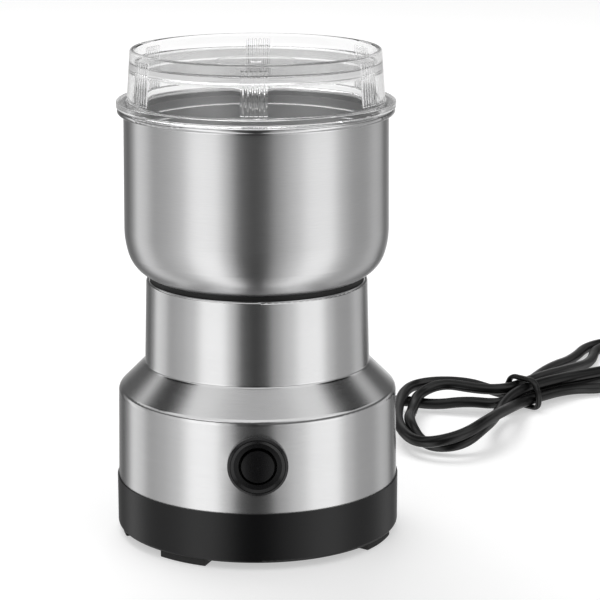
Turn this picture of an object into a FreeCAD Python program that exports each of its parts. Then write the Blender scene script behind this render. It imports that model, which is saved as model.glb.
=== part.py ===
import FreeCAD, Part
import math
import os
from FreeCAD import Vector

# Electric spice grinder, in millimetres.
# The origin is on the floor under the upright axis, +Z is up and the push button faces -Y.
# Turned pieces are drawn as (radius, height) outlines and swept round the upright axis.

os.makedirs("parts", exist_ok=True)

# Fits
touch_gap = 0.02        # pressed or clamped pieces of one body
shank_gap = 0.1         # screw shanks in their holes
run_fit = 0.04          # shafts in bushes
near_gap = 0.3          # moving pieces beside fixed ones
lip_gap = 0.12          # the cup's lip inside the shell
seat_gap = 0.06         # curved seats on the shell

# Outer body
foot_h = 2.5
base_r = 51.0
base_edge_r = 1.2
base_floor_t = 2.4
seam_z = 20.5
seam_step = 0.5         # the shell stands this far in from the cup
drum_h = 32.7
drum_taper = 0.5
shoulder_round = 2.4
cone_h = 9.6
neck_h = 30.1
neck_top_r = 39.6
neck_taper = 0.8
neck_foot_round = 0.7
neck_top_round = 0.9
shell_t = 0.8
shell_flange_r = 30.0
shell_lip_h = 4.0
shell_lip_t = 1.8

# Bowl
gasket_h = 1.7
gasket_w = 5.3
gasket_inset = 1.3      # from the neck's side
bowl_t = 0.75
bowl_side_r = 47.1
bowl_taper = 0.35
bowl_side_up = 17.0     # from the bowl's floor to the foot of its straight side
bowl_flank_round = 30.0
bowl_flank_turn = 17.0
bowl_corner_round = 13.0
bowl_h = 58.9
bead_r = 1.2
bead_bite = 0.15        # the rolled rim's overlap with the wall

# Lid
lid_overhang = 0.3
lid_flange_t = 2.0
lid_ledge = 3.65
lid_taper = 1.45
lid_h = 20.0
lid_wall_t = 1.8
lid_sink = 4.7
lid_panel_t = 1.8
lid_skirt_h = 6.5
lid_skirt_gap = 0.35
lid_lift_gap = 0.3
lid_ring_r = 14.0
lid_ring_w = 0.8
lid_ring_h = 0.3
lid_gate_r = 2.0
lid_mark_root = 0.2
lid_inner_round = 1.6
lid_edge_round = 0.45
lid_lip_round = 0.7
lid_panel_round = 0.9
rib_groups = 6
rib_count = 6
rib_pitch = 2.0         # degrees from rib to rib
rib_w = 0.75
rib_proud = 0.5
rib_low = 0.9
rib_high = 2.2
rib_root = 0.5
rib_turn = -1.0         # degrees from the front to the middle of the front group

# Feet and base screws
foot_inset = 1.6
foot_w = 6.2
foot_span = 22.0
foot_end_gap = 0.05     # degrees
foot_recess = 0.8
foot_angles = [-175.0, -123.0, -27.0, 25.0, 105.0]
pillar_inset = 1.45     # from the frame's side
pillar_w = 4.0
pillar_count = 4
pillar_drop = 0.5       # the bosses end this far below the seam
boss_w = 5.2
base_screw_head_r = 3.3
base_screw_head_h = 2.2
base_screw_shank_r = 1.5
base_screw_sink = 6.0
base_screw_bite = 14.0
vent_count = 18
vent_in_r = 13.0
vent_out_r = 26.0
vent_w = 2.0

# Deck under the bowl
deck_t = 3.0
deck_hole_r = 8.2
frame_skirt_t = 2.0
frame_skirt_up = 1.2    # from the neck's foot
frame_side_gap = 0.35
stud_r = 2.0
stud_inset = 9.0        # from the pillars towards the axis
nut_flat = 7.0
nut_h = 3.2
stud_past_nut = 0.8
seal_flange_r = 11.0
seal_flange_t = 1.0
seal_lip_r = 6.8
seal_lip_h = 2.2
seal_low = 1.6

# Motor: its pieces hang from the deck, one under the other
mount_inset = 0.95
mount_r = 4.5
mount_h = 4.0
mount_post_h = 3.6
mount_count = 4
mount_screw_head_r = 3.0
mount_screw_head_h = 2.2
mount_screw_r = 1.5
mount_screw_short = 2.0 # the screw ends this far below the deck's top
ear_w = 10.0
shaft_r = 4.0
shaft_end_r = 3.0
shaft_below = 1.0       # the shaft's end under the lower bush
shaft_step_down = 2.0
lower_bush_r = 4.5
lower_bush_drop = 4.5
lower_bush_h = 8.5
upper_bush_r = 5.5
upper_bush_h = 8.5
bush_wall = 2.5
bracket_lip = 0.5
bracket_t = 2.5
bracket_rim_w = 5.0
bracket_hub_w = 2.0
upper_window_half = 26.0
lower_window_half = 20.0
lower_bracket_down = 9.5
stack_h = 19.0
stator_room = 2.0       # between the stator and the pillars
stator_ring_t = 5.0
stator_depth = 11.4
pole_half = 52.0
air_gap = 0.6
core_slots = 12
slot_w = 1.8
slot_depth = 1.6
winding_inset = 1.4
winding_h = 4.4
winding_round = 2.0
coil_inset = 0.8
coil_h = 4.0
coil_half = 84.0
coil_side = 22.0
coil_gap = 0.5
leg_r = 3.0
leg_inset = 0.3
stator_screw_r = 1.5
stator_screw_head_r = 2.8
stator_screw_head_h = 2.0
commutator_r = 8.5
commutator_h = 9.0
commutator_room = 1.0
riser_step = 1.1
riser_h = 1.6
commutator_bars = 12
bar_gap_w = 0.5
bar_gap_depth = 0.8
fan_room = 0.7
fan_h = 6.0
fan_r = 19.0
fan_hub_r = 6.5
fan_disc_t = 1.2
fan_blades = 8
fan_blade_t = 1.2
fan_blade_turn = 18.0
washer_r = 6.0
washer_t = 0.8
washer_room = 0.6

# Brushes
brush_w = 5.0
brush_h = 6.0
brush_len = 8.0
brush_air = 0.05
brush_curve = 2.5       # the brush's corners reach this far past the commutator's face
holder_wall = 1.2
holder_room = 0.5
holder_foot_in = 3.0
brush_spring_len = 6.3
brush_spring_r = 1.9
brush_spring_wire = 0.35
brush_spring_turns = 5

# Blade
sleeve_r = 5.6
blade_up = 7.05         # from the bowl's floor to the blade
blade_t = 1.2
blade_reach = 33.0
blade_w = 12.0
blade_root = 2.0
blade_flat = 21.0
blade_tip_turn = 20.0
blade_sweep_r = 26.0
blade_trail_r = 36.4
blade_lead_x = 11.55
blade_trail_x = 18.15
blade_lead_y = 5.4
blade_trail_y = 4.2
blade_hub_r = 6.6
blade_nut_flat = 9.0
blade_nut_h = 3.6
blade_nut_dome = 1.6
nut_dome_root = 0.5
nut_bore_up = 0.3       # air over the shaft's end inside the nut

# Push switch: "out" counts outwards from the shell at the seam and "in" counts inwards
switch_up = 17.5        # from the seam
bezel_r = 10.5
bezel_out = 1.7
bezel_crest_out = 2.2
bezel_crest_r = 9.5
bezel_dish_out = 1.3
bezel_slope = 1.2
bezel_in = 3.0
bezel_crest_round = 0.5
bezel_edge_round = 0.4
barrel_r = 8.4
barrel_in = 14.5
button_well_r = 6.65
button_r = 5.7
button_out = 2.5
button_edge_out = 1.9
button_in = 2.0
button_wall = 1.4
button_fit = 0.08
stem_r = 2.4
stem_in = 11.9
stem_root = 0.5
web_in = 8.0
web_t = 1.5
button_spring_r = 3.6
button_spring_wire = 0.5
button_spring_turns = 4
switch_hole_gap = 0.2
ring_nut_r = 11.2
ring_nut_t = 3.0
ring_nut_in = 2.9
ring_nut_notches = 6
notch_w = 2.4
notch_depth = 1.0
body_half = 8.0
body_room = 0.9         # between the switch and the motor's bracket
body_nose_r = 6.7
body_nose_in = 10.5
body_well = 5.5
tab_t = 0.8
tab_w = 4.0
tab_h = 7.0
tab_x = 4.0

# Cord entry
cord_r = 2.3
cord_fit = 0.05
entry_margin = 1.0      # between the entry's boss and the cup's edges
entry_rise = 0.3        # from the middle of the cup's height
entry_out = 2.0
entry_hole_r = 5.15
gland_flange_w = 1.45
gland_flange_t = 1.8
gland_seat_in = 0.88
gland_collar_w = 1.25
gland_collar_t = 2.0
gland_root_r = 5.0
gland_tip_r = 3.3
gland_len = 26.0
gland_grooves = 5
gland_groove_w = 1.3
gland_groove_depth = 0.9
gland_groove_first = 0.6
gland_skin = 0.5
cord_start_in = 3.0
jacket_past_clamp = 6.0
clamp_back = 7.9
clamp_w = 4.5
clamp_half = 9.0
clamp_t = 2.4
clamp_post_x = 6.4
clamp_post_r = 2.4
clamp_screw_r = 1.1
clamp_screw_head_r = 2.1
clamp_screw_head_h = 1.3
clamp_screw_short = 2.0

# Small electrics
block_in_x = 14.8       # from the middle of the nearest boss, sideways
block_in_y = 5.3        # and forwards
block_size = [17.0, 9.0, 8.5]
block_screw_r = 1.6
block_wire_share = 0.4
capacitor_in_x = 10.3   # from the middle of the other boss, sideways
capacitor_in_y = 7.3    # and forwards
capacitor_size = [13.0, 6.5, 11.0]
capacitor_round = 0.8
wire_r = 0.9
wire_side = 1.1
wire_bite = 1.0         # bare ends inside the terminal block
wire_turn_share = 0.3
wire_front_y = 2.0
wire_tab_run = 12.0
wire_lift = 3.0

# Mains cord: the free lead, the tied hank beside the grinder and the tail with its plug
lead_straight_y = 87.0  # the lead leaves the gland in a straight line to here
lead_route = [
    (1, 103, 10.2),
    (9, 120, 5.8),
    (25, 136, cord_r),
    (42, 149, cord_r),
    (59, 152, cord_r),
    (73, 144, cord_r),
    (88, 139, cord_r),
]
tie_x = 114.0
tie_y = 151.0
waist_turn = 45.0       # degrees from +X along the hank at the tie
waist_half = 2.6        # the upper strands' distance from the middle one
waist_low = 4.9
waist_high = 9.4
waist_past = 12.0       # straight ends of the hank past the tie
waist_before = 16.0     # straight run of the lead before the tie
waist_sag = 0.3
nest_step = 6.30        # the second loop lies this far outside the first
nest_drop_left = 3.58
nest_drop_right = 2.33
first_front = 40.6      # headings of the strands at the tie
first_back = 225.6
second_front = 44.6
second_back = 227.4
# Stations of the first loop as (x, y, z, heading in degrees from +X)
left_loop = [
    (95.1, 144.7, 9.2, 168.4),
    (74.0, 148.9, 9.5, 202.2),
    (63.4, 112.5, 2.3, 263.0),
    (73.6, 79.2, 5.4, 354.3),
    (93.3, 104.6, 4.0, 68.3),
]
right_loop = [
    (147.5, 188.8, 11.4, 39.1),
    (188.5, 219.7, 2.3, 73.3),
    (171.2, 251.9, 2.3, 203.7),
    (144.5, 203.6, 6.7, 240.8),
]
tail_run = 16.0         # straight run of the tail from the hank's end
tail_route = [(152.5, 175.0, 4.3), (169.0, 180.0, 6.5)]
plug_x = 186.0
plug_y = 185.0
plug_z = 6.5
plug_turn = 16.4
plug_w = 26.0
plug_t = 13.0
plug_len = 34.0
plug_grip = 12.0
plug_grip_share = 0.9   # of the plug's thickness, where the grip runs into it
plug_round = 2.5
plug_neck_r = 3.6
pin_r = 2.0
pin_len = 19.0
pin_pitch = 18.6
tie_r = 1.05            # half the band's thickness
tie_half_w = 1.65       # half its width along the hank
tie_gap = 0.3
tie_cut = 2.4
gap_step = 1.0          # spacing of the points on which the hank's gap is measured

up = Vector(0, 0, 1)
origin = Vector(0, 0, 0)


def polar(radius, degrees, z=0.0):
    """A point at an angle counted from +X towards +Y."""
    a = math.radians(degrees)
    return Vector(radius * math.cos(a), radius * math.sin(a), z)


def roundPath(corners, rounds):
    """Lines and tangent arcs through (r, z) corners; rounds gives each inner corner's radius."""
    points = [Vector(r, 0, z) for r, z in corners]
    edges = []
    here = points[0]
    for i in range(1, len(points) - 1):
        corner = points[i]
        back = (points[i - 1] - corner).normalize()
        ahead = (points[i + 1] - corner).normalize()
        radius = rounds.get(i, 0.0)
        if radius <= 0:
            edges.append(Part.makeLine(here, corner))
            here = corner
            continue
        half = back.getAngle(ahead) / 2
        cut = radius / math.tan(half)
        middle = (back + ahead).normalize()
        centre = corner + middle * (radius / math.sin(half))
        start = corner + back * cut
        end = corner + ahead * cut
        edges.append(Part.makeLine(here, start))
        edges.append(Part.Arc(start, centre - middle * radius, end).toShape())
        here = end
    edges.append(Part.makeLine(here, points[-1]))
    return edges


def turned(corners, rounds=None):
    """A closed outline of (r, z) corners, swept a full turn round the upright axis."""
    edges = roundPath(corners + [corners[0]], rounds or {})
    face = Part.Face(Part.Wire(edges))
    return face.revolve(origin, up, 360)


def turnedEdges(edges):
    return Part.Face(Part.Wire(edges)).revolve(origin, up, 360)


def rod(radius, start, end):
    along = end - start
    return Part.makeCylinder(radius, along.Length, start, along)


def post(radius, x, y, low, high):
    return Part.makeCylinder(radius, high - low, Vector(x, y, low), up)


def ring(outer, inner, low, high):
    return post(outer, 0, 0, low, high).cut(post(inner, 0, 0, low - 1, high + 1))


def sector(outer, inner, low, high, middle, half):
    """Part of a ring, centred on an angle counted from +X."""
    solid = Part.makeCylinder(outer, high - low, Vector(0, 0, low), up, 2 * half)
    solid.rotate(origin, up, middle - half)
    return solid.cut(post(inner, 0, 0, low - 1, high + 1))


def block(x0, x1, y0, y1, z0, z1):
    return Part.makeBox(x1 - x0, y1 - y0, z1 - z0, Vector(x0, y0, z0))


def hexagon(flat, low, high, x=0.0, y=0.0):
    corners = [polar(flat / math.sqrt(3), 60 * k, low) + Vector(x, y, 0) for k in range(7)]
    return Part.Face(Part.makePolygon(corners)).extrude(Vector(0, 0, high - low))


def joined(solids):
    whole = solids[0]
    if len(solids) > 1:
        whole = whole.fuse(solids[1:])
    return whole.removeSplitter()


def toFront(solid):
    """Lays a piece turned round the upright axis along -Y at the switch."""
    solid.rotate(origin, Vector(1, 0, 0), 90)
    solid.translate(Vector(0, 0, switch_z))
    return solid


def toRear(solid):
    """Lays a piece turned round the upright axis along +Y at the cord entry."""
    solid.rotate(origin, Vector(1, 0, 0), -90)
    solid.translate(Vector(0, 0, cord_z))
    return solid


def around(count, first=0.0):
    return [first + 360.0 * k / count for k in range(count)]


def save(name, solids):
    """Writes one node; a list is a group of separate solids."""
    solids = solids if isinstance(solids, list) else [solids]
    loose = [s for piece in solids for s in piece.Solids]
    shape = loose[0] if len(loose) == 1 else Part.makeCompound(loose)
    shape.exportStep("parts/" + name + ".step")
    state = "valid" if shape.isValid() else "NOT VALID"
    print(name, len(loose), "solids", round(shape.Volume, 1), "mm3", state)
    return shape


# Places worked out from the sizes above, from the floor up
shoulder_z = seam_z + drum_h
neck_foot_z = shoulder_z + cone_h
neck_top_z = neck_foot_z + neck_h
deck_z = neck_top_z - shell_t
deck_low_z = deck_z - deck_t
bowl_z = neck_top_z + gasket_h
bowl_floor_z = bowl_z + bowl_t
bowl_side_z = bowl_z + bowl_side_up
bowl_rim_z = bowl_z + bowl_h
bead_top_z = bowl_rim_z + bead_r
lid_flange_z = bead_top_z + lid_lift_gap
lid_top_z = lid_flange_z + lid_h
lid_panel_z = lid_top_z - lid_sink
lid_skirt_z = lid_flange_z - lid_skirt_h
cup_floor_z = foot_h + base_floor_t
pillar_low_z = seam_z - pillar_drop
frame_skirt_z = neck_foot_z + frame_skirt_up
sleeve_top_z = bowl_floor_z + blade_up
switch_z = seam_z + switch_up
cord_z = (seam_z + foot_h) / 2 + entry_rise
mount_top_z = deck_low_z - mount_post_h
upper_bracket_top = mount_top_z - mount_h
upper_bush_z = upper_bracket_top - bracket_t
fan_z = upper_bush_z - washer_room - washer_t - fan_h
stack_top_z = fan_z - fan_room - winding_h
stack_z = stack_top_z - stack_h
commutator_z = stack_z - winding_h - commutator_room - riser_h - commutator_h
brush_z = commutator_z + commutator_h / 2
lower_bracket_z = commutator_z - lower_bracket_down
lower_bush_z = lower_bracket_z - lower_bush_drop

# Places worked out from the axis outwards
seam_r = base_r - seam_step
shoulder_r = seam_r - drum_taper
neck_foot_r = neck_top_r + neck_taper
shell_lip_r = seam_r - shell_t - lip_gap
cup_inner_r = shell_lip_r - shell_lip_t
foot_out_r = base_r - foot_inset
foot_in_r = foot_out_r - foot_w
gasket_out_r = neck_top_r - gasket_inset
gasket_in_r = gasket_out_r - gasket_w
bowl_hole_r = deck_hole_r
bowl_top_r = bowl_side_r - bowl_taper
bowl_in_r = bowl_top_r - bowl_t
bead_middle_r = bowl_top_r + bead_r - bead_bite
lid_flange_r = bead_middle_r + bead_r + lid_overhang
lid_foot_r = lid_flange_r - lid_ledge
lid_top_r = lid_foot_r - lid_taper
lid_skirt_r = bowl_in_r - lid_skirt_gap
frame_side_r = neck_top_r - shell_t - frame_side_gap
pillar_r = frame_side_r - pillar_w - pillar_inset
stud_circle_r = pillar_r - stud_inset
boss_x = pillar_r * math.cos(math.radians(45))
mount_circle_r = frame_side_r - frame_skirt_t - mount_r - mount_inset
stator_out_r = pillar_r - pillar_w - stator_room
stator_bore_r = stator_out_r - stator_depth
core_r = stator_bore_r - air_gap
winding_r = core_r - winding_inset
coil_in_r = stator_bore_r + coil_inset
bracket_r = stator_out_r + bracket_lip
leg_circle_r = bracket_r - leg_r - leg_inset
block_x = block_in_x - boss_x
block_y = boss_x - block_in_y
capacitor_x = boss_x - capacitor_in_x
capacitor_y = boss_x - capacitor_in_y
riser_r = commutator_r + riser_step
brush_nose_x = commutator_r - brush_curve
holder_in_x = commutator_r + holder_room
holder_out_x = commutator_r + brush_len + brush_spring_len + holder_wall
holder_foot_x = holder_in_x + holder_foot_in
holder_foot_end = holder_out_x - holder_foot_in
pillar_angles = around(pillar_count, 45.0)
mount_angles = around(mount_count, 0.0)
leg_angles = [90.0, 270.0]

# The switch, from the shell inwards
bezel_front = seam_r + bezel_out
bezel_crest = seam_r + bezel_crest_out
bezel_dish = seam_r + bezel_dish_out
bezel_back = seam_r - bezel_in
button_front = seam_r + button_out
button_edge = seam_r + button_edge_out
button_back = seam_r - button_in
button_top_in = button_edge - button_wall
web_front = seam_r - web_in
web_back = web_front - web_t
stem_back = seam_r - stem_in
ring_nut_front = seam_r - ring_nut_in
ring_nut_back = ring_nut_front - ring_nut_t
body_nose = seam_r - body_nose_in
barrel_back = seam_r - barrel_in
body_back = bracket_r + body_room
tab_y = -(body_back + barrel_back) / 2
tab_low_z = switch_z - body_half - tab_h

# The cord entry, from the cup's wall inwards and outwards
entry_y = base_r + entry_out
entry_boss_r = (seam_z - foot_h) / 2 - entry_margin
gland_seat_y = cup_inner_r - gland_seat_in
gland_flange_r = entry_hole_r + gland_flange_w
gland_collar_r = entry_hole_r + gland_collar_w
gland_tip_y = entry_y + gland_len
cord_start_y = entry_y - cord_start_in
clamp_y = gland_seat_y - clamp_back
jacket_end_y = clamp_y - jacket_past_clamp


def shellCorners(inset):
    """The outer line of the steel shell from the seam to the neck's top, moved inwards."""
    lean = math.atan2(shoulder_r - neck_foot_r, cone_h)
    drop = inset * math.tan(lean / 2)
    low = [(seam_r - inset, seam_z), (shoulder_r - inset, shoulder_z - drop)]
    high = [(neck_foot_r - inset, neck_foot_z - drop)]
    return low + high + [(neck_top_r - inset, neck_top_z)]


def filledShell(inset):
    corners = shellCorners(inset)
    return turned(corners + [(0, neck_top_z), (0, seam_z)], {1: shoulder_round, 2: neck_foot_round})


# Base cup with its bosses, cord entry and vents
def makeBaseCup():
    cup = turned(
        [
            (0, foot_h),
            (base_r, foot_h),
            (base_r, seam_z),
            (shell_lip_r, seam_z),
            (shell_lip_r, seam_z + shell_lip_h),
            (cup_inner_r, seam_z + shell_lip_h),
            (cup_inner_r, cup_floor_z),
            (0, cup_floor_z),
        ],
        {1: base_edge_r},
    )
    adds = []
    cuts = []
    for a in pillar_angles:
        p = polar(pillar_r, a)
        adds.append(post(boss_w, p.x, p.y, foot_h + 1, pillar_low_z))
        cuts.append(post(base_screw_head_r + near_gap, p.x, p.y, foot_h - 1, foot_h + base_screw_sink))
        cuts.append(post(base_screw_shank_r + shank_gap, p.x, p.y, foot_h, pillar_low_z + 1))
    adds.append(rod(entry_boss_r, Vector(0, cup_inner_r - 1, cord_z), Vector(0, entry_y, cord_z)))
    cuts.append(rod(entry_hole_r, Vector(0, cup_inner_r - 4, cord_z), Vector(0, entry_y + 1, cord_z)))
    clear = rod(entry_boss_r + 4, Vector(0, clamp_y, cord_z), Vector(0, gland_seat_y, cord_z))
    clear = clear.common(post(cup_inner_r + 2, 0, 0, cup_floor_z, seam_z + shell_lip_h))
    cuts.append(clear)
    for a in foot_angles:
        cuts.append(sector(foot_out_r + touch_gap, foot_in_r - touch_gap, 0, foot_h + foot_recess,
                           a, foot_span / 2 + foot_end_gap))
    for a in around(vent_count, 180.0 / vent_count):
        slot = block(vent_in_r, vent_out_r, -vent_w / 2, vent_w / 2, foot_h - 1, cup_floor_z + 1)
        slot.rotate(origin, up, a)
        cuts.append(slot)
    saddle = []
    for side in (-1, 1):
        saddle.append(post(clamp_post_r, side * clamp_post_x, clamp_y, cup_floor_z - 1, cord_z + cord_r))
    saddle.append(block(-cord_r, cord_r, clamp_y - clamp_w / 2, clamp_y + clamp_w / 2,
                        cup_floor_z - 1, cord_z - cord_r))
    cup = joined([cup] + adds).cut(cuts)
    cup = joined([cup] + saddle)
    holes = [post(clamp_screw_r + shank_gap, s * clamp_post_x, clamp_y, cup_floor_z, cord_z + 5)
             for s in (-1, 1)]
    return cup.cut(holes)


def makeFeet():
    return [sector(foot_out_r, foot_in_r, 0, foot_h + foot_recess, a, foot_span / 2)
            for a in foot_angles]


def screw(x, y, seat, head_r, head_h, shank_r, length, upward=True, recess=True):
    """A pan-head screw whose head seats at a height, with a cross recess in the head."""
    sign = 1 if upward else -1
    low = seat - sign * head_h
    head = rod(head_r, Vector(x, y, low), Vector(x, y, seat))
    shank = rod(shank_r, Vector(x, y, seat), Vector(x, y, seat + sign * length))
    whole = joined([head, shank])
    if recess:
        depth = head_h * 0.5
        z0, z1 = sorted((low - sign * 0.1, low + sign * depth))
        arm, bar = head_r * 0.62, head_r * 0.15
        cross = block(x - arm, x + arm, y - bar, y + bar, z0, z1)
        cross = cross.fuse(block(x - bar, x + bar, y - arm, y + arm, z0, z1))
        whole = whole.cut(cross)
    return whole


def makeBaseScrews():
    seat = foot_h + base_screw_sink
    length = pillar_low_z + base_screw_bite - seat
    return [screw(polar(pillar_r, a).x, polar(pillar_r, a).y, seat, base_screw_head_r,
                  base_screw_head_h, base_screw_shank_r, length) for a in pillar_angles]


# Steel shell: drum, shoulder and neck with a flange turned in at the top
def makeOuterShell():
    outer = shellCorners(0.0)
    inner = shellCorners(shell_t)
    inner[-1] = (neck_top_r - shell_t, neck_top_z - shell_t)
    line = outer + [(shell_flange_r, neck_top_z), (shell_flange_r, neck_top_z - shell_t)]
    line = line + inner[::-1]
    rounds = {
        1: shoulder_round,
        2: neck_foot_round,
        3: neck_top_round,
        7: neck_foot_round + shell_t,
        8: shoulder_round - shell_t,
    }
    shell = turned(line, rounds)
    hole = rod(
        barrel_r + switch_hole_gap,
        Vector(0, -bezel_crest - 1, switch_z),
        Vector(0, -barrel_back, switch_z),
    )
    return shell.cut(hole)


def makeInnerFrame():
    side_r = frame_side_r
    skirt = turned([
        (deck_hole_r, deck_low_z),
        (side_r - frame_skirt_t, deck_low_z),
        (side_r - frame_skirt_t, frame_skirt_z),
        (side_r, frame_skirt_z),
        (side_r, deck_z),
        (deck_hole_r, deck_z),
    ])
    adds = []
    cuts = []
    for a in pillar_angles:
        p = polar(pillar_r, a)
        adds.append(post(pillar_w, p.x, p.y, pillar_low_z, deck_low_z + 1))
        cuts.append(post(base_screw_shank_r + shank_gap, p.x, p.y, pillar_low_z - 1,
                         pillar_low_z + base_screw_bite + 2))
        s = polar(stud_circle_r, a)
        cuts.append(post(stud_r + shank_gap, s.x, s.y, deck_low_z - 1, deck_z + 1))
    for a in mount_angles:
        p = polar(mount_circle_r, a)
        adds.append(post(mount_r, p.x, p.y, mount_top_z, deck_low_z + 1))
        cuts.append(post(mount_screw_r + shank_gap, p.x, p.y, mount_top_z - 1, deck_z - 1))
    return joined([skirt] + adds).cut(cuts)


# Bowl: a drawn cup whose corner is a long flank arc running into a tighter corner arc
def bowlLine(inset):
    """The bowl's outer line from the floor to the rim, moved inwards by the wall."""
    turn = math.radians(bowl_flank_turn)
    flank = bowl_flank_round
    corner = bowl_corner_round
    x1 = bowl_side_r - flank * (1 - math.cos(turn))
    z1 = bowl_side_z - flank * math.sin(turn)
    cx = x1 - corner * math.cos(turn)
    cz = z1 + corner * math.sin(turn)
    end = math.asin((cz - bowl_z) / corner) if cz - bowl_z < corner else math.pi / 2
    mid = (turn + end) / 2
    fx = bowl_side_r - flank

    def at(x, z, radius, angle):
        return Vector(x + (radius - inset) * math.cos(angle), 0, z - (radius - inset) * math.sin(angle))

    if inset > 0:
        end = math.asin(min(1.0, (cz - bowl_z - inset) / (corner - inset)))
        mid = (turn + end) / 2
    top = Vector(bowl_top_r - inset, 0, bowl_rim_z)
    side = at(fx, bowl_side_z, flank, 0)
    half = at(fx, bowl_side_z, flank, turn / 2)
    join = at(fx, bowl_side_z, flank, turn)
    low = at(cx, cz, corner, mid)
    foot = at(cx, cz, corner, end)
    return [
        Part.makeLine(top, side),
        Part.Arc(side, half, join).toShape(),
        Part.Arc(join, low, foot).toShape(),
    ], top, foot


def makeBowl():
    outer, outer_top, outer_foot = bowlLine(0.0)
    inner, inner_top, inner_foot = bowlLine(bowl_t)
    hole_low = Vector(bowl_hole_r, 0, bowl_z)
    hole_high = Vector(bowl_hole_r, 0, bowl_floor_z)
    edges = outer + [
        Part.makeLine(outer_foot, hole_low),
        Part.makeLine(hole_low, hole_high),
        Part.makeLine(hole_high, inner_foot),
    ] + inner[::-1] + [Part.makeLine(inner_top, outer_top)]
    cup = turnedEdges(Part.__sortEdges__(edges))
    bead = Part.makeTorus(bead_middle_r, bead_r, Vector(0, 0, bowl_rim_z), up)
    return joined([cup, bead])


def makeGasket():
    return ring(gasket_out_r, gasket_in_r, neck_top_z, bowl_z)


def makeStuds():
    low = deck_low_z - nut_h - stud_past_nut
    return [post(stud_r, polar(stud_circle_r, a).x, polar(stud_circle_r, a).y, low, bowl_z)
            for a in pillar_angles]


def makeNuts():
    nuts = []
    for a in pillar_angles:
        p = polar(stud_circle_r, a)
        nut = hexagon(nut_flat, deck_low_z - nut_h, deck_low_z, p.x, p.y)
        nuts.append(nut.cut(post(stud_r + shank_gap, p.x, p.y, deck_low_z - nut_h - 1, deck_low_z + 1)))
    return nuts


def makeShaftSeal():
    bore = shaft_r + near_gap
    flange_top = bowl_floor_z + seal_flange_t
    return turned([
        (bore, deck_z - seal_low),
        (deck_hole_r - touch_gap, deck_z - seal_low),
        (deck_hole_r - touch_gap, bowl_floor_z),
        (seal_flange_r, bowl_floor_z),
        (seal_flange_r, flange_top),
        (seal_lip_r, flange_top + seal_lip_h),
        (bore, flange_top + seal_lip_h),
    ])


# Motor brackets hold the bushes and stand on the stack on two hollow legs
def makeUpperBracket():
    low = upper_bush_z
    parts = [post(bracket_r, 0, 0, low, upper_bracket_top)]
    parts.append(post(upper_bush_r + bush_wall, 0, 0, low, upper_bush_z + upper_bush_h))
    for a in mount_angles:
        p = polar(mount_circle_r, a)
        parts.append(post(ear_w / 2, p.x, p.y, low, upper_bracket_top))
    for a in leg_angles:
        p = polar(leg_circle_r, a)
        parts.append(post(leg_r, p.x, p.y, stack_top_z, low + 1))
    solid = joined(parts)
    cuts = [post(upper_bush_r + touch_gap, 0, 0, low - 1, upper_bush_z + upper_bush_h + 1)]
    for a in mount_angles:
        p = polar(mount_circle_r, a)
        cuts.append(post(mount_screw_r + shank_gap, p.x, p.y, low - 1, upper_bracket_top + 1))
    for a in leg_angles:
        p = polar(leg_circle_r, a)
        cuts.append(post(stator_screw_r + shank_gap, p.x, p.y, stack_top_z - 1, upper_bracket_top + 1))
    window_in = upper_bush_r + bush_wall + bracket_hub_w
    for a in pillar_angles:
        cuts.append(sector(bracket_r - bracket_rim_w, window_in, low - 1, upper_bracket_top + 1,
                           a, upper_window_half))
    return solid.cut(cuts)


def makeLowerBracket():
    low = lower_bracket_z
    high = low + bracket_t
    parts = [post(bracket_r, 0, 0, low, high)]
    parts.append(post(lower_bush_r + bush_wall, 0, 0, lower_bush_z, lower_bush_z + lower_bush_h))
    for a in leg_angles:
        p = polar(leg_circle_r, a)
        parts.append(post(leg_r, p.x, p.y, low, stack_z))
    solid = joined(parts)
    cuts = [post(lower_bush_r + touch_gap, 0, 0, lower_bush_z - 1, lower_bush_z + lower_bush_h + 1)]
    for a in leg_angles:
        p = polar(leg_circle_r, a)
        cuts.append(post(stator_screw_r + shank_gap, p.x, p.y, low - 1, stack_z + 1))
    window_in = lower_bush_r + bush_wall + bracket_hub_w
    for a in pillar_angles:
        cuts.append(sector(bracket_r - bracket_rim_w, window_in, low - 1, high + 1, a, lower_window_half))
    return solid.cut(cuts)


def makeBush(radius, bore, low, height):
    return ring(radius, bore + run_fit, low, low + height)


def makeStator():
    parts = [ring(stator_out_r, stator_out_r - stator_ring_t, stack_z, stack_top_z)]
    for a in (0, 180):
        parts.append(sector(stator_out_r - 1, stator_bore_r, stack_z, stack_top_z, a, pole_half))
    cuts = [post(stator_screw_r + shank_gap, polar(leg_circle_r, a).x, polar(leg_circle_r, a).y,
                 stack_z - 1, stack_top_z + 1) for a in leg_angles]
    return joined(parts).cut(cuts)


def makeFieldCoils():
    outer = stator_out_r - stator_ring_t - coil_gap
    coils = []
    for a in (0, 180):
        low = sector(outer, coil_in_r, stack_z - coil_h, stack_z, a, coil_half)
        high = sector(outer, coil_in_r, stack_top_z, stack_top_z + coil_h, a, coil_half)
        parts = [low, high]
        for side in (-1, 1):
            middle = a + side * (coil_half - coil_side / 2)
            parts.append(sector(outer, coil_in_r, stack_z - 1, stack_top_z + 1, middle, coil_side / 2))
        coils.append(joined(parts))
    return coils


def makeStatorScrews():
    low = lower_bracket_z
    length = upper_bracket_top - low
    return [screw(polar(leg_circle_r, a).x, polar(leg_circle_r, a).y, low, stator_screw_head_r,
                  stator_screw_head_h, stator_screw_r, length) for a in leg_angles]


def makeRubberMounts():
    mounts = []
    for a in mount_angles:
        p = polar(mount_circle_r, a)
        sleeve = post(mount_r, p.x, p.y, upper_bracket_top, mount_top_z)
        hole = post(mount_screw_r + shank_gap, p.x, p.y, upper_bracket_top - 1, mount_top_z + 1)
        mounts.append(sleeve.cut(hole))
    return mounts


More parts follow.
